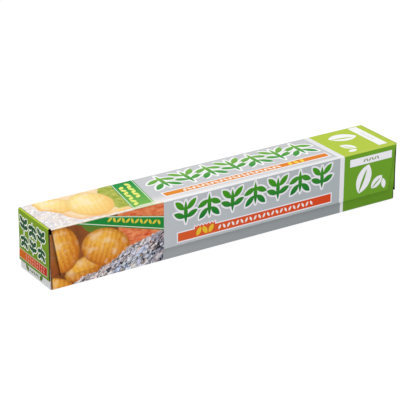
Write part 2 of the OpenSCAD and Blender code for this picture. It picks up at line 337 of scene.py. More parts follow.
class Paint:
    """A material's colour, painted in layers by masks over millimetre coordinates."""

    def __init__(self, name):
        self.material = bpy.data.materials.new(name)
        self.material.use_nodes = True
        self.tree = self.material.node_tree
        self.shader = self.tree.nodes["Principled BSDF"]
        coordinates = self.node("ShaderNodeTexCoord")
        self.place = self.vector("SCALE", coordinates.outputs["Object"], scale=1 / MM)
        self.x, self.y, self.z = self.split(self.place)
        self.nx, self.ny, self.nz = self.split(coordinates.outputs["Normal"])

    def node(self, kind, **settings):
        made = self.tree.nodes.new(kind)
        for key, value in settings.items():
            setattr(made, key, value)
        return made

    def feed(self, socket, value):
        if isinstance(value, bpy.types.NodeSocket):
            self.tree.links.new(value, socket)
        elif isinstance(value, (tuple, list)) and socket.type == "RGBA":
            socket.default_value = (*value[:3], 1.0)
        else:
            socket.default_value = value

    def math(self, operation, *values, clamp=False):
        made = self.node("ShaderNodeMath", operation=operation, use_clamp=clamp)
        for socket, value in zip(made.inputs, values):
            self.feed(socket, value)
        return made.outputs[0]

    def vector(self, operation, *values, scale=None):
        made = self.node("ShaderNodeVectorMath", operation=operation)
        for socket, value in zip(made.inputs, values):
            self.feed(socket, value)
        if scale is not None:
            self.feed(made.inputs["Scale"], scale)
        return made.outputs["Value" if operation in ("LENGTH", "DOT_PRODUCT") else "Vector"]

    def split(self, value):
        made = self.node("ShaderNodeSeparateXYZ")
        self.feed(made.inputs[0], value)
        return made.outputs[0], made.outputs[1], made.outputs[2]

    def join(self, u, v):
        made = self.node("ShaderNodeCombineXYZ")
        for socket, value in zip(made.inputs, (u, v)):
            self.feed(socket, value)
        return made.outputs[0]

    def mix(self, share, first, second, blend="MIX"):
        made = self.node("ShaderNodeMix", data_type="RGBA", blend_type=blend)
        self.feed(made.inputs["Factor"], share)
        self.feed(made.inputs[6], first)
        self.feed(made.inputs[7], second)
        return made.outputs[2]

    def ramp(self, value, low, high):
        """0 at low and 1 at high, clamped."""
        made = self.node("ShaderNodeMapRange", clamp=True)
        for socket, number in zip(made.inputs, (value, low, high, 0.0, 1.0)):
            self.feed(socket, number)
        return made.outputs[0]

    # Signed distances in millimetres: negative inside a shape
    def band(self, u, low, high):
        off = self.math("ABSOLUTE", self.math("SUBTRACT", u, (low + high) / 2))
        return self.math("SUBTRACT", off, (high - low) / 2)

    def rect(self, u, v, u_range, v_range):
        return self.math("MAXIMUM", self.band(u, *u_range), self.band(v, *v_range))

    def disc(self, u, v, centre, radius):
        offset = self.vector("SUBTRACT", self.join(u, v), (*centre, 0.0))
        return self.math("SUBTRACT", self.vector("LENGTH", offset), radius)

    def leaf(self, u, v, centre, length, width, angle):
        """Lens between two equal arcs, its long axis turned by angle degrees."""
        a, b = length / 2, width / 2
        radius = (a * a + b * b) / (2 * b)
        turn = math.radians(angle)
        offset = self.vector("SUBTRACT", self.join(u, v), (*centre, 0.0))
        along = self.vector("DOT_PRODUCT", offset, (math.cos(turn), math.sin(turn), 0.0))
        across = self.vector("DOT_PRODUCT", offset, (-math.sin(turn), math.cos(turn), 0.0))
        beyond = self.math("ADD", self.math("ABSOLUTE", across), radius - b)
        lens = self.math("SUBTRACT", self.vector("LENGTH", self.join(along, beyond)), radius)
        return self.math("MAXIMUM", lens, self.math("SUBTRACT", self.vector("LENGTH", offset), a))

    def union(self, *distances):
        found = distances[0]
        for distance in distances[1:]:
            found = self.math("MINIMUM", found, distance)
        return found

    def both(self, *distances):
        found = distances[0]
        for distance in distances[1:]:
            found = self.math("MAXIMUM", found, distance)
        return found

    # Masks, and inks laid over what is painted so far
    def inside(self, distance, grow=0.0, soft=0.12):
        """1 within a shape grown by some millimetres, 0 outside."""
        return self.math("MULTIPLY_ADD", distance, -1 / soft, 0.5 + grow / soft, clamp=True)

    def over(self, value, limit, soft=0.05):
        """1 where value is above limit."""
        return self.ramp(value, limit - soft / 2, limit + soft / 2)

    def lay(self, colour, distance, ink, grow=0.0, soft=0.12):
        """An ink within a shape."""
        return self.mix(self.inside(distance, grow, soft), colour, ink)

    def past(self, colour, value, limit, ink):
        """An ink where value is above limit."""
        return self.mix(self.over(value, limit), colour, ink)

    def fade(self, value, span, inks):
        """From the first ink to the second as value goes over a span."""
        return self.mix(self.ramp(value, *span), *inks)

    def times(self, first, second):
        return self.math("MULTIPLY", first, second)

    def noise(self, grain, place=None):
        """Noise of 0 to 1, whose grain is its scale, detail and roughness."""
        made = self.node("ShaderNodeTexNoise")
        self.feed(made.inputs["Vector"], place or self.place)
        for name, number in zip(("Scale", "Detail", "Roughness"), grain):
            self.feed(made.inputs[name], number)
        return made.outputs[0]

    def stretched(self, stretch):
        """Place with each axis scaled, for noise drawn out along one of them."""
        return self.vector("MULTIPLY", self.place, stretch)

    def swing(self, noise, reach):
        """A noise of 0 to 1 as an offset of up to half the reach either way."""
        return self.math("MULTIPLY_ADD", noise, reach, -reach / 2)

    def cells(self, place, scale):
        """Random colour of each cell in an even scatter of cells."""
        made = self.node("ShaderNodeTexVoronoi")
        self.feed(made.inputs["Vector"], place)
        self.feed(made.inputs["Scale"], scale)
        return made.outputs["Color"]

    def relief(self, height, strength, depth):
        """Bump from a height of 0 to 1, with its depth in millimetres."""
        bump = self.node("ShaderNodeBump")
        bump.inputs["Strength"].default_value = strength
        bump.inputs["Distance"].default_value = depth * MM
        self.feed(bump.inputs["Height"], height)
        self.feed(self.shader.inputs["Normal"], bump.outputs[0])

    def finish(self, colour, roughness):
        self.feed(self.shader.inputs["Base Color"], colour)
        self.feed(self.shader.inputs["Roughness"], roughness)
        return self.material


def repeated(paint, u, start, end, count):
    """Coordinate from the middle of the nearest of count equal cells, and 1 or -1 by turns."""
    pitch = (end - start) / count
    moved = paint.math("DIVIDE", paint.math("SUBTRACT", u, start), pitch)
    number = paint.math("MAXIMUM", paint.math("FLOOR", moved), 0.0)
    number = paint.math("MINIMUM", number, count - 1.0)
    middle = paint.math("MULTIPLY_ADD", number, -pitch, -start - pitch / 2)
    turn = paint.math("MULTIPLY_ADD", paint.math("FLOORED_MODULO", number, 2.0), -2.0, 1.0)
    return paint.math("ADD", u, middle), turn


def sprig_row(paint, u, v, u_range, v_middle, size, count, flip=1.0, width=0.245):
    """A row of generic four-leaved sprays, every second one upside down.

    Size is the height of a spray, and width the width of its leaves for a height of one."""
    local, turn = repeated(paint, u, *u_range, count)
    s = paint.math("DIVIDE", local, size)
    lifted = paint.times(paint.math("SUBTRACT", v, v_middle), flip / size)
    t = paint.times(lifted, turn)
    side = paint.math("ABSOLUTE", s)
    leaves = []
    for across, leaf in ((side, SPRAY_UPPER), (side, SPRAY_LOWER), (s, SPRAY_STEM)):
        centre, length, share, angle = leaf
        leaves.append(paint.leaf(across, t, centre, length, width * share, angle))
    return paint.times(paint.union(*leaves), size)


def mark_row(paint, u, v, u_range, v_middle, count, length, width, angle):
    """A row of small leaf-shaped marks, leaning left and right by turns."""
    local, turn = repeated(paint, u, *u_range, count)
    lifted = paint.times(paint.math("SUBTRACT", v, v_middle), turn)
    return paint.leaf(local, lifted, (0.0, 0.0), length, width, angle)


def mark_rows(paint, u, v, rows):
    return paint.union(*(mark_row(paint, u, v, *row) for row in rows))


def sprout(paint, u, v, centre, size, angle):
    """A large leaf with its rib left out."""
    leaf = paint.leaf(u, v, centre, size, size * SPROUT_WIDTH, angle)
    rib_centre = tuple(middle - size * shift for middle, shift in zip(centre, RIB_SHIFT))
    rib = paint.leaf(u, v, rib_centre, size * RIB_LENGTH, size * RIB_WIDTH, angle)
    return paint.both(leaf, paint.times(rib, -1.0))


def label_and_leaves(paint, u, v, label, sprouts, leaflet):
    """White shapes of a green end: a label and leaves."""
    return paint.union(
        paint.rect(u, v, *label),
        *(sprout(paint, u, v, *each) for each in sprouts),
        paint.leaf(u, v, *leaflet),
    )


def golden_bun(paint, colour, u, v, centre, size, angle, inks, ridge, rim_level):
    """One rounded golden shape over what is painted so far, lit from its upper left.

    Inks are its pale, deep and gloss colours. Its rim is the deep colour times rim_level."""
    pale, deep, shine = inks
    cos, sin = math.cos(math.radians(angle)), math.sin(math.radians(angle))
    face = paint.join(u, v)
    offset = paint.vector("SUBTRACT", face, (*centre, 0.0))
    a = paint.vector("DOT_PRODUCT", offset, (cos / size[0], sin / size[0], 0.0))
    b = paint.vector("DOT_PRODUCT", offset, (-sin / size[1], cos / size[1], 0.0))
    spot = paint.join(a, b)
    reach = paint.vector("LENGTH", spot)
    edge = paint.times(paint.math("SUBTRACT", reach, 1.0), min(size))
    glow = paint.vector("LENGTH", paint.vector("SUBTRACT", spot, CRUST_LIGHT))

    # Fine ridges across it, bent by the grain
    grain = paint.noise(CRUST_NOISE, face)
    bend = paint.math("MULTIPLY_ADD", b, RIDGE_TILT, paint.times(grain, RIDGE_BEND))
    ridges = paint.math("SINE", paint.math("MULTIPLY_ADD", a, size[0] * RIDGES_PER_MM, bend))
    tone = paint.math("ADD", glow, paint.swing(grain, CRUST_UNEVEN))
    tone = paint.math("MULTIPLY_ADD", ridges, ridge, tone)
    body = paint.fade(tone, CRUST_TONE, (deep, pale))

    # Patches of gloss, and a darker rim
    spark = paint.math("SUBTRACT", paint.noise(GLOSS_NOISE, face), paint.times(glow, GLOSS_FALL))
    body = paint.mix(paint.times(paint.ramp(spark, *CRUST_GLOSS), GLOSS_SHARE), body, shine)
    rim = paint.times(paint.ramp(reach, *CRUST_RIM), RIM_SHARE)
    body = paint.mix(rim, body, shade(deep, rim_level))
    return paint.lay(colour, edge, body, soft=0.5)


def crumpled(paint, u, v, size, inks, tint):
    """Creased foil: slanted facets from dark to bright, some warmer and some bluer by tint."""
    face = paint.join(u, v)
    along = paint.vector("DOT_PRODUCT", face, FACETS_ALONG)
    across = paint.vector("DOT_PRODUCT", face, FACETS_ACROSS)
    place = paint.join(along, across)
    bend = paint.join(
        paint.noise(ALONG_NOISE, place),
        paint.noise(ACROSS_NOISE, paint.join(across, along)),
    )
    bent = paint.vector("ADD", place, paint.vector("SCALE", bend, scale=FACET_BEND * size))
    coarse, warm, _ = paint.split(paint.cells(bent, COARSE_FACETS / size))
    fine, bright, _ = paint.split(paint.cells(bent, FINE_FACETS / size))
    tone = paint.math("MULTIPLY_ADD", fine, FINE_WEIGHT, paint.times(coarse, COARSE_WEIGHT))
    body = paint.fade(tone, FACET_TONE, inks)
    body = paint.mix(tint, body, paint.mix(warm, BLUE_CAST, WARM_CAST), "MULTIPLY")
    return paint.fade(bright, FACET_GLINT, (body, shade(inks[1], GLINT_LEVEL)))


def ribbon_rule(paint, edge, inset, width):
    """Thin line inside the edge of a shape."""
    off = paint.math("ABSOLUTE", paint.math("ADD", edge, inset))
    return paint.math("SUBTRACT", off, width / 2)


def line_side(paint, u, v, first, second):
    """Signed distance from the line through two points, negative on its left."""
    dx, dy = second[0] - first[0], second[1] - first[1]
    size = math.hypot(dx, dy)
    offset = paint.vector("SUBTRACT", paint.join(u, v), (*first, 0.0))
    return paint.vector("DOT_PRODUCT", offset, (dy / size, -dx / size, 0.0))


def silver_ink(paint, level):
    """Grey-silver ink with the faint cloudiness of a printed metallic grey."""
    tones = (shade(level, factor) for factor in SILVER_LEVELS)
    return paint.mix(paint.noise(SILVER_NOISE), *tones)


def front_picture(paint, u, v):
    """Golden food on a dark ground, a salmon slice, a leaf, and crumpled foil in front."""
    face = paint.join(u, v)
    picture = paint.mix(paint.noise(FOOD_NOISE), *FOOD_GROUND)
    picture = paint.lay(picture, paint.leaf(u, v, *FRONT_LEAF), FRONT_LEAF_INK, soft=0.5)
    grain = paint.noise(SALMON_NOISE, paint.join(u, paint.times(v, SALMON_FLATNESS)))
    flesh = paint.fade(grain, SALMON_TONE, SALMON_INKS)
    picture = paint.lay(picture, paint.disc(u, v, *SALMON_DISC), flesh, soft=0.6)
    for bun in FRONT_FOOD:
        picture = golden_bun(paint, picture, u, v, *bun, *FRONT_CRUST)

    # The foil's ragged heap: duller to the right and at its rim, bluer low down
    heap = paint.both(line_side(paint, u, v, *HEAP_UPPER), line_side(paint, u, v, *HEAP_LOWER))
    heap = paint.union(heap, paint.leaf(u, v, *HEAP_TIP))
    heap = paint.math("ADD", heap, paint.swing(paint.noise(HEAP_NOISE, face), HEAP_RAGGED))
    foil = crumpled(paint, u, v, *FRONT_FOIL)
    foil = paint.mix(paint.ramp(u, *FOIL_RIGHT_FADE), foil, FOIL_RIGHT, "MULTIPLY")
    foil = paint.mix(paint.ramp(heap, *FOIL_DEEP_FADE), foil, FOIL_DEEP, "MULTIPLY")
    foil = paint.mix(paint.times(paint.ramp(heap, *FOIL_RIM_FADE), FOIL_RIM_SHARE), foil, FOIL_RIM)
    return paint.lay(picture, heap, foil, soft=0.4)


def front_ground(paint, u, v, stripe, silver=1.0, green=GREEN_INK):
    """Fields of the front print: picture, silver, white stripe and green end."""
    # The silver darkens from the left to the right as painted shade
    drift = paint.math("SUBTRACT", u, SILVER_DRIFT / 2)
    drift = paint.math("MULTIPLY_ADD", paint.noise(SILVER_NOISE), SILVER_DRIFT, drift)
    silvers = (shade(SILVER_LEFT, silver), shade(SILVER_RIGHT, silver))
    colour = paint.fade(drift, (PICTURE_END, FRONT_STRIPE[0]), silvers)
    picture = front_picture(paint, u, v)
    colour = paint.lay(colour, paint.math("SUBTRACT", u, PICTURE_END), picture)
    colour = paint.past(colour, u, stripe[0], WHITE_INK)
    return paint.past(colour, u, stripe[1], green)


def front_design(paint):
    """Print of the front flap."""
    u, v = paint.x, paint.z
    colour = front_ground(paint, u, v, FRONT_STRIPE)

    # Green ribbon across the picture, with a row of yellow marks
    lower = line_side(paint, u, v, *RIBBON_LOWER)
    upper = line_side(paint, u, v, *RIBBON_UPPER)
    ribbon = paint.both(lower, upper, paint.math("SUBTRACT", u, PICTURE_END))
    colour = paint.lay(colour, ribbon, RIBBON_INK)
    rules = paint.union(
        ribbon_rule(paint, lower, *LOWER_RULE),
        ribbon_rule(paint, upper, *UPPER_RULE),
    )
    colour = paint.lay(colour, paint.both(rules, ribbon), RIBBON_RULE_INK)
    face = paint.join(u, v)
    along = paint.vector("DOT_PRODUCT", face, RIBBON_ALONG)
    across = paint.vector("DOT_PRODUCT", face, RIBBON_ACROSS)
    colour = paint.lay(colour, mark_row(paint, along, across, *RIBBON_MARKS), RIBBON_MARK_INK)

    # Row of sprays with a white edge
    sprays = sprig_row(paint, u, v, *FRONT_SPRAYS)
    colour = paint.lay(colour, sprays, WHITE_INK, grow=FRONT_SPRAY_RIM)
    colour = paint.lay(colour, sprays, paint.fade(v, FRONT_SPRAY_FADE, FRONT_SPRAY_INKS))

    # Banner with a saw-toothed crest over a row of small marks
    teeth = paint.math("ADD", paint.math("PINGPONG", u, SAW_TOOTH), SAW_BASE)
    crest = paint.both(
        paint.math("SUBTRACT", v, teeth),
        paint.band(u, *SAW_SPAN),
        paint.math("SUBTRACT", SAW_ROOT, v),
    )
    banner = paint.union(paint.rect(u, v, *FRONT_BANNER), crest)
    colour = paint.lay(colour, banner, WHITE_INK, grow=FRONT_BANNER_RIM)
    colour = paint.lay(colour, banner, paint.fade(u, FRONT_BANNER_FADE, FRONT_BANNER_INKS))
    colour = paint.lay(colour, mark_row(paint, u, v, *FRONT_BANNER_MARKS), FRONT_BANNER_MARK_INK)
    colour = paint.lay(colour, mark_row(paint, u, v, *FRONT_BANNER_GOLD), FRONT_GOLD_INK)

    # Label and white leaves on the green end
    leaves = label_and_leaves(paint, u, v, FRONT_LABEL, FRONT_SPROUTS, FRONT_LEAFLET)
    colour = paint.lay(colour, leaves, shade(WHITE_INK, FRONT_LEAVES_LEVEL))
    return paint.lay(colour, mark_row(paint, u, v, *FRONT_LABEL_MARKS), FRONT_LABEL_MARK_INK)


def top_picture(paint, u, v):
    """Pale food and a leaf, with bright foil in the corner behind an orange fringe."""
    food = paint.mix(paint.noise(PALE_NOISE), *PALE_GROUND)
    veins = paint.fade(paint.noise(TOP_LEAF_NOISE), TOP_LEAF_TONE, TOP_LEAF_INKS)
    food = paint.lay(food, paint.leaf(u, v, *TOP_LEAF), veins, soft=0.5)
    for bun in TOP_FOOD:
        food = golden_bun(paint, food, u, v, *bun, *TOP_CRUST)
    corner = paint.union(
        line_side(paint, u, v, *TOP_FOIL_SIDE),
        paint.math("SUBTRACT", u, TOP_FOIL_END),
        line_side(paint, u, v, *TOP_FOIL_FRONT),
    )
    corner = paint.math("ADD", corner, paint.swing(paint.noise(TOP_FOIL_NOISE), TOP_FOIL_WAVE))
    food = paint.mix(paint.times(paint.ramp(corner, *FRINGE_FADE), FRINGE_SHARE), food, FRINGE_INK)
    return paint.lay(food, corner, crumpled(paint, u, v, *TOP_FOIL), soft=1.2)


def fold_wear_and_sheen(paint, colour, u, v):
    """Print rubbed white along the front fold, with a painted highlight over it.

    It is widest at the ribbon, faint on the green end, and brown low on the picture's bend."""
    on_silver = paint.over(u, PICTURE_END)
    wide = paint.times(paint.ramp(u, *WEAR_SHEEN_WIDENS), WEAR_SHEEN_AT_RIBBON)
    narrower = WEAR_SHEEN_ON_SILVER - WEAR_SHEEN_AT_RIBBON
    wide = paint.math("MULTIPLY_ADD", paint.ramp(u, *WEAR_SHEEN_NARROWS), narrower, wide)
    from_fold = paint.math("SUBTRACT", paint.math("SUBTRACT", v, FLAP_Y), wide)
    wear_and_sheen = paint.ramp(from_fold, *WEAR_SHEEN_FADE)
    on_green = paint.over(u, TOP_STRIPE[1])
    share = paint.math("MULTIPLY_ADD", on_green, WEAR_SHEEN_SHARE_ON_GREEN - WEAR_SHEEN_SHARE, WEAR_SHEEN_SHARE)
    on_picture = paint.math("SUBTRACT", 1.0, on_silver)
    low_bend = paint.times(paint.ramp(paint.nz, *LOW_BEND), on_picture)
    bare = paint.mix(on_silver, paint.mix(low_bend, WEAR_SHEEN_PICTURE, WEAR_SHEEN_LOW_BEND), WEAR_SHEEN_SILVER)
    return paint.mix(paint.times(wear_and_sheen, share), colour, bare)


def top_design(paint):
    """Print of the lid's top panel, with a painted sheen: the front's pieces, turned to be read
    from other sides.
    """
    u, v = paint.x, paint.y
    # Painted sheen: the top's silver is lighter near the front fold and towards the left
    front_sheen = paint.times(paint.ramp(v, *TOP_SHEEN_ACROSS), paint.ramp(u, *TOP_SHEEN_ALONG))
    silver = paint.mix(front_sheen, silver_ink(paint, TOP_SILVER), TOP_SILVER_SHEEN)
    across = paint.math("MULTIPLY_ADD", v, TOP_RIBBON_LEAN, u)
    colour = paint.past(top_picture(paint, u, v), across, TOP_RIBBON[1], silver)

    # Ribbon with two rows of marks
    ribbon = paint.band(across, *TOP_RIBBON)
    colour = paint.lay(colour, ribbon, paint.fade(v, TOP_RIBBON_FADE, TOP_RIBBON_INKS))
    colour = paint.lay(colour, ribbon_rule(paint, ribbon, *TOP_RULE), TOP_RULE_INK)
    colour = paint.lay(colour, mark_rows(paint, v, across, TOP_RIBBON_MARKS), TOP_RIBBON_MARK_INK)

    # Sprays with a white edge, and a banner with a row of small marks
    sprays = sprig_row(paint, u, v, *TOP_SPRAYS)
    colour = paint.lay(colour, sprays, TOP_WHITE, grow=TOP_SPRAY_RIM)
    colour = paint.lay(colour, sprays, paint.fade(v, TOP_SPRAY_FADE, TOP_SPRAY_INKS))
    banner = paint.rect(u, v, *TOP_BANNER)
    colour = paint.lay(colour, banner, TOP_WHITE, grow=TOP_BANNER_RIM)
    colour = paint.lay(colour, banner, paint.fade(u, TOP_BANNER_FADE, TOP_BANNER_INKS))
    colour = paint.lay(colour, mark_row(paint, u, v, *TOP_BANNER_MARKS), TOP_BANNER_MARK_INK)
    colour = paint.lay(colour, mark_row(paint, u, v, *TOP_BANNER_GOLD), TOP_GOLD_INK)

    # Stripe and green end, with a label and white leaves
    colour = paint.past(colour, u, TOP_STRIPE[0], TOP_STRIPE_WHITE)
    colour = paint.past(colour, u, TOP_STRIPE[1], LIME_INK)
    leaves = label_and_leaves(paint, u, v, TOP_LABEL, TOP_SPROUTS, TOP_LEAFLET)
    colour = paint.lay(colour, leaves, TOP_WHITE)
    colour = paint.lay(colour, mark_row(paint, v, u, *TOP_LABEL_MARKS), TOP_LABEL_MARK_INK)
    return fold_wear_and_sheen(paint, colour, u, v)


def end_design(paint):
    """Print of an outer end flap, and of the strip of card that it leaves bare."""
    u, v = paint.y, paint.z
    colour = paint.fade(v, END_FIELD_FADE, END_FIELD_INKS)
    sprays = paint.union(*(sprig_row(paint, u, v, *row) for row in END_SPRAYS))
    colour = paint.lay(colour, sprays, END_SPRAY_EDGE, grow=END_SPRAY_RIM)
    colour = paint.lay(colour, sprays, END_SPRAY_INK)
    banner = paint.rect(u, v, *END_BANNER)
    colour = paint.lay(colour, banner, END_BANNER_EDGE, grow=END_BANNER_RIM)
    reds = paint.fade(paint.math("ADD", u, v), END_BANNER_FADE, END_BANNER_INKS)
    colour = paint.lay(colour, banner, reds)
    colour = paint.lay(colour, mark_rows(paint, u, v, END_MARKS), END_MARK_INK)
    colour = paint.past(colour, v, FOLD_Z, LIME_INK)
    marks = paint.union(
        *(paint.leaf(u, v, *leaf) for leaf in END_LEAVES),
        mark_row(paint, u, v, *END_STRIP_MARKS),
    )
    strip = paint.mix(paint.inside(marks), END_STRIP_INK, END_STRIP_MARK_INK)
    return paint.lay(colour, paint.math("SUBTRACT", v, END_STRIP_Z), strip)


def rear_design(paint):
    """Print of the back and the bottom: stripe and green end, and on the back sprays and a
    notice panel with a red bar and rows of small marks."""
    u, v = paint.x, paint.z
    colour = silver_ink(paint, SILVER_LEFT)
    panel = paint.math("SUBTRACT", paint.rect(u, v, *REAR_PANEL), REAR_PANEL_ROUNDING)
    colour = paint.lay(colour, panel, WHITE_INK)
    colour = paint.lay(colour, paint.both(paint.rect(u, v, *REAR_BAR), panel), REAR_BAR_INK)
    colour = paint.lay(colour, mark_rows(paint, u, v, REAR_MARKS), REAR_MARK_INK)
    sprays = sprig_row(paint, u, v, *REAR_SPRAYS)
    colour = paint.lay(colour, sprays, WHITE_INK, grow=FRONT_SPRAY_RIM)
    colour = paint.lay(colour, sprays, REAR_SPRAY_INK)
    colour = paint.past(colour, u, FRONT_STRIPE[0], WHITE_INK)
    return paint.past(colour, u, FRONT_STRIPE[1], GREEN_INK)


def coated_card(paint, colour, printed, edge):
    """Finishes a card: satin print outside, plain greyish board inside, cut edges of print in
    painted shade.
    """
    board = paint.mix(paint.noise(BOARD_NOISE), *BOARD)
    cut = paint.mix(1.0, colour, CUT_EDGE_SHADE, "MULTIPLY")
    plain = paint.mix(edge, board, cut)
    paint.shader.inputs["Specular IOR Level"].default_value = CARD_SPECULAR
    waves = paint.noise(WAVE_NOISE)
    grain = paint.times(paint.noise(GRAIN_NOISE), GRAIN_HEIGHT)
    paint.relief(paint.math("ADD", waves, grain), *CARD_RELIEF)
    smoother = PRINT_ROUGHNESS - BOARD_ROUGHNESS
    roughness = paint.math("MULTIPLY_ADD", printed, smoother, BOARD_ROUGHNESS)
    return paint.finish(paint.mix(printed, plain, colour), roughness)


def lid_material():
    """The top print with its painted sheen, on the panel and the outside of its bends."""
    paint = Paint("lid_print_and_sheen")
    outward = paint.times(paint.ny, paint.math("SIGN", paint.y))
    top = paint.over(paint.nz, LID_TOP_FACING)
    printed = paint.math("MAXIMUM", top, paint.over(outward, LID_BEND_FACING))
    edge = paint.over(paint.math("ABSOLUTE", paint.nx), FACING)
    return coated_card(paint, top_design(paint), printed, edge)


def flap_material():
    """The front print, with a painted shadow in a fine dark line beside the slanted cuts, stronger
    at the left.
    """
    paint = Paint("flap_print_and_shadow")
    printed = paint.over(paint.times(paint.ny, -1.0), FACING)
    edge = paint.over(paint.math("ABSOLUTE", paint.nx), FACING)
    # Painted shadow: a fine dark line beside the slanted cuts, stronger at the left
    slope = (FLAP_TOP_X - FLAP_LOW_X) / (FOLD_Z - FLAP_EDGE_Z)
    cut_x = paint.math("MULTIPLY_ADD", paint.z, slope, FLAP_LOW_X - slope * FLAP_EDGE_Z)
    to_cut = paint.math("SUBTRACT", cut_x, paint.math("ABSOLUTE", paint.x))
    below_top = paint.inside(paint.z, TOP_Z - CUT_SHADOW_TOP, CUT_SHADOW_TOP)
    line = paint.times(paint.ramp(to_cut, *CUT_SHADOW_FADE), below_top)
    on_right = paint.over(paint.x, 0.0)
    share = paint.math("MULTIPLY_ADD", on_right, CUT_SHADOW_RIGHT - CUT_SHADOW_LEFT, CUT_SHADOW_LEFT)
    colour = paint.mix(paint.times(line, share), front_design(paint), CUT_SHADOW_INK)
    return coated_card(paint, colour, printed, edge)


def carton_material():
    """Prints of the tray with painted shade: front wall, ends, back and bottom, and the returns on
    the top.
    """
    paint = Paint("carton_print_and_shade")
    in_front = paint.inside(paint.math("SUBTRACT", paint.y, WALL_Y + FOLD_R - BEND_MARGIN))
    front = paint.times(paint.over(paint.times(paint.ny, -1.0), WALL_FACING), in_front)
    far = paint.math("ABSOLUTE", paint.x)
    edge = paint.over(far, END_X - STRIP_BACK)
    outward = paint.times(paint.nx, paint.math("SIGN", paint.x))
    end = paint.times(paint.over(outward, BEND_FACING), edge)
    back = paint.times(paint.over(paint.ny, FACING), paint.over(paint.y, BACK_Y - PRINT_DEPTH))
    downward = paint.times(paint.nz, -1.0)
    base = paint.times(paint.over(downward, BEND_FACING), paint.inside(paint.z, PRINT_DEPTH))
    top = paint.times(paint.over(paint.nz, BEND_FACING), paint.over(paint.z, FOLD_Z))

    # Front wall: its green is darker below the flap as painted shade and lighter beside it, and its
    # left end beside the flap is painted a darker brown as shade
    beside_flap = paint.over(paint.z, FLAP_EDGE_Z + WALL_BESIDE_RISE, soft=4.0)
    beside_flap = paint.times(beside_flap, paint.ramp(paint.x, *WALL_BESIDE_X))
    greens = (shade(GREEN_INK, WALL_GREEN_SHADE), shade(GREEN_INK, WALL_GREEN_BESIDE))
    green = paint.mix(beside_flap, *greens)
    wall = front_ground(paint, paint.x, paint.z, WALL_STRIPE, WALL_SILVER_SHADE, green)
    # Painted shade: the wall's left end beside the flap is darkened to a mottled brown
    corner = paint.inside(paint.rect(paint.x, paint.z, *WALL_SHADED_CORNER), soft=2.0)
    brown = paint.mix(paint.noise(CORNER_NOISE), *WALL_CORNER_SHADE_INKS)
    wall = paint.mix(paint.times(corner, WALL_SHADED_CORNER_SHARE), wall, brown)

    colour = paint.mix(paint.math("MAXIMUM", front, edge), rear_design(paint), wall)
    colour = paint.mix(end, colour, end_design(paint))
    colour = paint.mix(top, colour, LIME_INK)

    # Painted shadow: a dark line along the wall's ends, wider below the flap
    below_flap = paint.inside(paint.math("SUBTRACT", paint.z, FLAP_EDGE_Z))
    reach = paint.math("MULTIPLY_ADD", below_flap, FOLD_SHADOW_WIDER, far)
    near_wall = paint.ramp(paint.y, WALL_Y + FOLD_SHADOW_DEEP, WALL_Y + FOLD_SHADOW_SHALLOW)
    fold = paint.times(paint.over(reach, END_X - FOLD_SHADOW), near_wall)
    colour = paint.mix(fold, colour, paint.mix(1.0, wall, FOLD_SHADOW_TINT, "MULTIPLY"))
    printed = front
    for face in (end, back, base, top):
        printed = paint.math("MAXIMUM", printed, face)
    return coated_card(paint, colour, printed, edge)


def foil_material():
    """Rolled foil: fine streaks round the roll and shallow dents that break up its gloss."""
    paint = Paint("rolled_foil")
    paint.shader.inputs["Metallic"].default_value = 1.0
    streaks = paint.noise(STREAK_NOISE, paint.stretched(STREAK_STRETCH))
    dents = paint.noise(DENT_NOISE, paint.stretched(DENT_STRETCH))
    tone = paint.math("MULTIPLY_ADD", streaks, STREAK_WEIGHT, paint.times(dents, DENT_WEIGHT))
    colour = paint.fade(tone, METAL_TONE, FOIL_METAL)
    paint.relief(paint.math("MULTIPLY_ADD", streaks, STREAK_HEIGHT, dents), *FOIL_RELIEF)
    return paint.finish(colour, paint.math("MULTIPLY_ADD", streaks, *FOIL_ROUGHNESS))


def core_material():
    """Brown core paper with the faint spiral seam of its winding."""
    paint = Paint("core_paper")
    low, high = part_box("core_tube")
    axis_z = (low.z + high.z) / 2 / MM
    around = paint.math("ARCTAN2", paint.math("SUBTRACT", paint.z, axis_z), paint.y)
    along = paint.times(paint.x, 1 / SEAM_PITCH)
    turns = paint.math("MULTIPLY_ADD", around, 1 / math.tau, along)
    part = paint.math("FLOORED_MODULO", turns, 1.0)
    off = paint.math("ABSOLUTE", paint.math("SUBTRACT", part, 0.5))
    seam = paint.inside(paint.times(off, SEAM_PITCH), grow=SEAM_REACH, soft=0.3)
    fibre = paint.noise(CORE_NOISE)
    colour = paint.mix(paint.times(seam, SEAM_SHARE), paint.mix(fibre, *CORE_PAPER), CORE_SEAM)
    paint.relief(paint.math("MULTIPLY_ADD", seam, -1.0, fibre), *CORE_RELIEF)
    return paint.finish(colour, paint.math("MULTIPLY_ADD", fibre, *CORE_ROUGHNESS))


def fibre_material(name, inks, noise, stretch, relief, roughness):
    """Bare board whose fibres are drawn out along the carton."""
    paint = Paint(name)
    fibre = paint.noise(noise, paint.stretched(stretch))
    paint.relief(fibre, *relief)
    return paint.finish(paint.mix(fibre, *inks), paint.math("MULTIPLY_ADD", fibre, *roughness))


def cutter_material():
    """Hard tan board of the toothed strip."""
    return fibre_material("cutter_paper", CUTTER_BOARD, *CUTTER_FIBRES)


def crease_material():
    """Bare fibres of the card where a fold has cracked its print."""
    return fibre_material("creased_card", CREASED_BOARD, *CREASE_FIBRES)


MATERIALS = {
    "carton_body": carton_material,
    "lid_panel": lid_material,
    "front_flap": flap_material,
    "cutter_strip": cutter_material,
    "foil_roll": foil_material,
    "core_tube": core_material,
}


def dress_nodes():
    for name, make in MATERIALS.items():
        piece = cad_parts[name]
        piece.data.materials.clear()
        piece.data.materials.append(make())


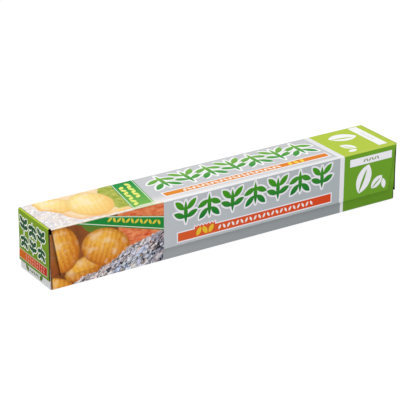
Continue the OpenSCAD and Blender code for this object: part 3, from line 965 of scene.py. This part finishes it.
def make_crease(name, side):
    """Strip of card inside a fold, hidden at rest.

    Side is 1 at the back of the lid and -1 at its front. The strip starts in the lower card of
    the fold and ends in the lid's own bend."""
    half = FLAP_TOP_X - CREASE_INSET
    low, high = FOLD_Z - CREASE_BELOW, FOLD_Z + CREASE_ABOVE
    outer, inner = BACK_Y - CREASE_OUTER, BACK_Y - CREASE_INNER
    points, faces = [], []
    for row in range(CREASE_ROWS + 1):
        z = low + (high - low) * row / CREASE_ROWS
        for x in (-half, half):
            points += [(x * MM, side * outer * MM, z * MM), (x * MM, side * inner * MM, z * MM)]
    for row in range(CREASE_ROWS):
        a = 4 * row
        b = a + 4
        faces += [(a, a + 2, b + 2, b), (a + 3, a + 1, b + 1, b + 3)]
        faces += [(a + 1, a, b, b + 1), (a + 2, a + 3, b + 3, b + 2)]
    top = 4 * CREASE_ROWS
    faces += [(1, 3, 2, 0), (top, top + 2, top + 3, top + 1)]
    mesh = bpy.data.meshes.new(name)
    mesh.from_pydata(points, [], [face[::-1] if side > 0 else face for face in faces])
    mesh.materials.append(crease_material())
    piece = bpy.data.objects.new(name, mesh)
    bpy.context.scene.collection.objects.link(piece)
    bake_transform(piece)


def make_camera():
    azimuth, elevation, roll = (
        math.radians(a) for a in (CAMERA_AZIMUTH, CAMERA_ELEVATION, CAMERA_ROLL)
    )
    back = Vector((
        math.sin(azimuth) * math.cos(elevation),
        -math.cos(azimuth) * math.cos(elevation),
        math.sin(elevation),
    ))
    right = Vector((math.cos(azimuth), math.sin(azimuth), 0.0))
    up = back.cross(right)
    place = back * CAMERA_DISTANCE + right * CAMERA_SIDE + up * CAMERA_RISE
    place.z += TOP_Z / 2
    turned_right = right * math.cos(roll) + up * math.sin(roll)
    turned_up = up * math.cos(roll) - right * math.sin(roll)
    data = bpy.data.cameras.new("camera")
    data.lens = CAMERA_LENS
    data.sensor_width = SENSOR_WIDTH
    data.clip_start, data.clip_end = CAMERA_CLIP
    camera = bpy.data.objects.new("camera", data)
    turn = Matrix((turned_right, turned_up, back)).transposed().to_4x4()
    camera.matrix_world = Matrix.Translation(place * MM) @ turn
    bpy.context.scene.collection.objects.link(camera)
    bpy.context.scene.camera = camera


def seen_directly(tree):
    """1 for rays that show the background: from the camera, in gloss or through glass."""
    path = tree.nodes.new("ShaderNodeLightPath")
    total = path.outputs["Is Camera Ray"]
    for name in ("Is Glossy Ray", "Is Transmission Ray"):
        add = tree.nodes.new("ShaderNodeMath")
        add.operation = "MAXIMUM"
        tree.links.new(total, add.inputs[0])
        tree.links.new(path.outputs[name], add.inputs[1])
        total = add.outputs[0]
    return total


def make_world():
    """White background, and a plain level of light from all round."""
    world = bpy.data.worlds.new("studio")
    world.use_nodes = True
    tree = world.node_tree
    background = tree.nodes["Background"]
    background.inputs["Color"].default_value = (1.0, 1.0, 1.0, 1.0)
    strength = tree.nodes.new("ShaderNodeMix")
    strength.inputs[2].default_value = WORLD_LEVEL
    strength.inputs[3].default_value = 1.0
    tree.links.new(seen_directly(tree), strength.inputs[0])
    tree.links.new(strength.outputs[0], background.inputs["Strength"])
    bpy.context.scene.world = world
    bpy.context.scene.view_settings.view_transform = "Standard"


def make_floor():
    """Pale floor that looks white and still takes a faint shadow."""
    mesh = bpy.data.meshes.new("floor")
    corners = [(-1, -1), (1, -1), (1, 1), (-1, 1)]
    points = [(x * FLOOR_REACH, y * FLOOR_REACH, -FLOOR_DROP) for x, y in corners]
    mesh.from_pydata(points, [], [(0, 1, 2, 3)])
    floor = bpy.data.objects.new("floor", mesh)
    bpy.context.scene.collection.objects.link(floor)
    material = bpy.data.materials.new("floor")
    material.use_nodes = True
    tree = material.node_tree
    tree.nodes.remove(tree.nodes["Principled BSDF"])
    output = tree.nodes["Material Output"]
    lit = tree.nodes.new("ShaderNodeBsdfDiffuse")
    lit.inputs["Color"].default_value = FLOOR_COLOUR
    shadow = tree.nodes.new("ShaderNodeBsdfDiffuse")
    shadow.inputs["Color"].default_value = FLOOR_SHADE
    glow = tree.nodes.new("ShaderNodeEmission")
    glow.inputs["Strength"].default_value = FLOOR_GLOW
    shown = tree.nodes.new("ShaderNodeAddShader")
    tree.links.new(shadow.outputs[0], shown.inputs[0])
    tree.links.new(glow.outputs[0], shown.inputs[1])
    choice = tree.nodes.new("ShaderNodeMixShader")
    tree.links.new(seen_directly(tree), choice.inputs[0])
    tree.links.new(lit.outputs[0], choice.inputs[1])
    tree.links.new(shown.outputs[0], choice.inputs[2])
    tree.links.new(choice.outputs[0], output.inputs["Surface"])
    mesh.materials.append(material)


def make_light(name, place, size, power):
    data = bpy.data.lights.new(name, "AREA")
    data.shape = "DISK"
    data.size = size
    data.energy = power
    light = bpy.data.objects.new(name, data)
    light.location = place
    light.rotation_mode = "QUATERNION"
    light.rotation_quaternion = Vector(place).to_track_quat("Z", "Y")
    bpy.context.scene.collection.objects.link(light)


dress_nodes()
make_crease("lid_crease", 1)
make_crease("flap_crease", -1)
make_camera()
make_world()
make_floor()
make_light("key", *KEY_LIGHT)
make_light("fill", *FILL_LIGHT)
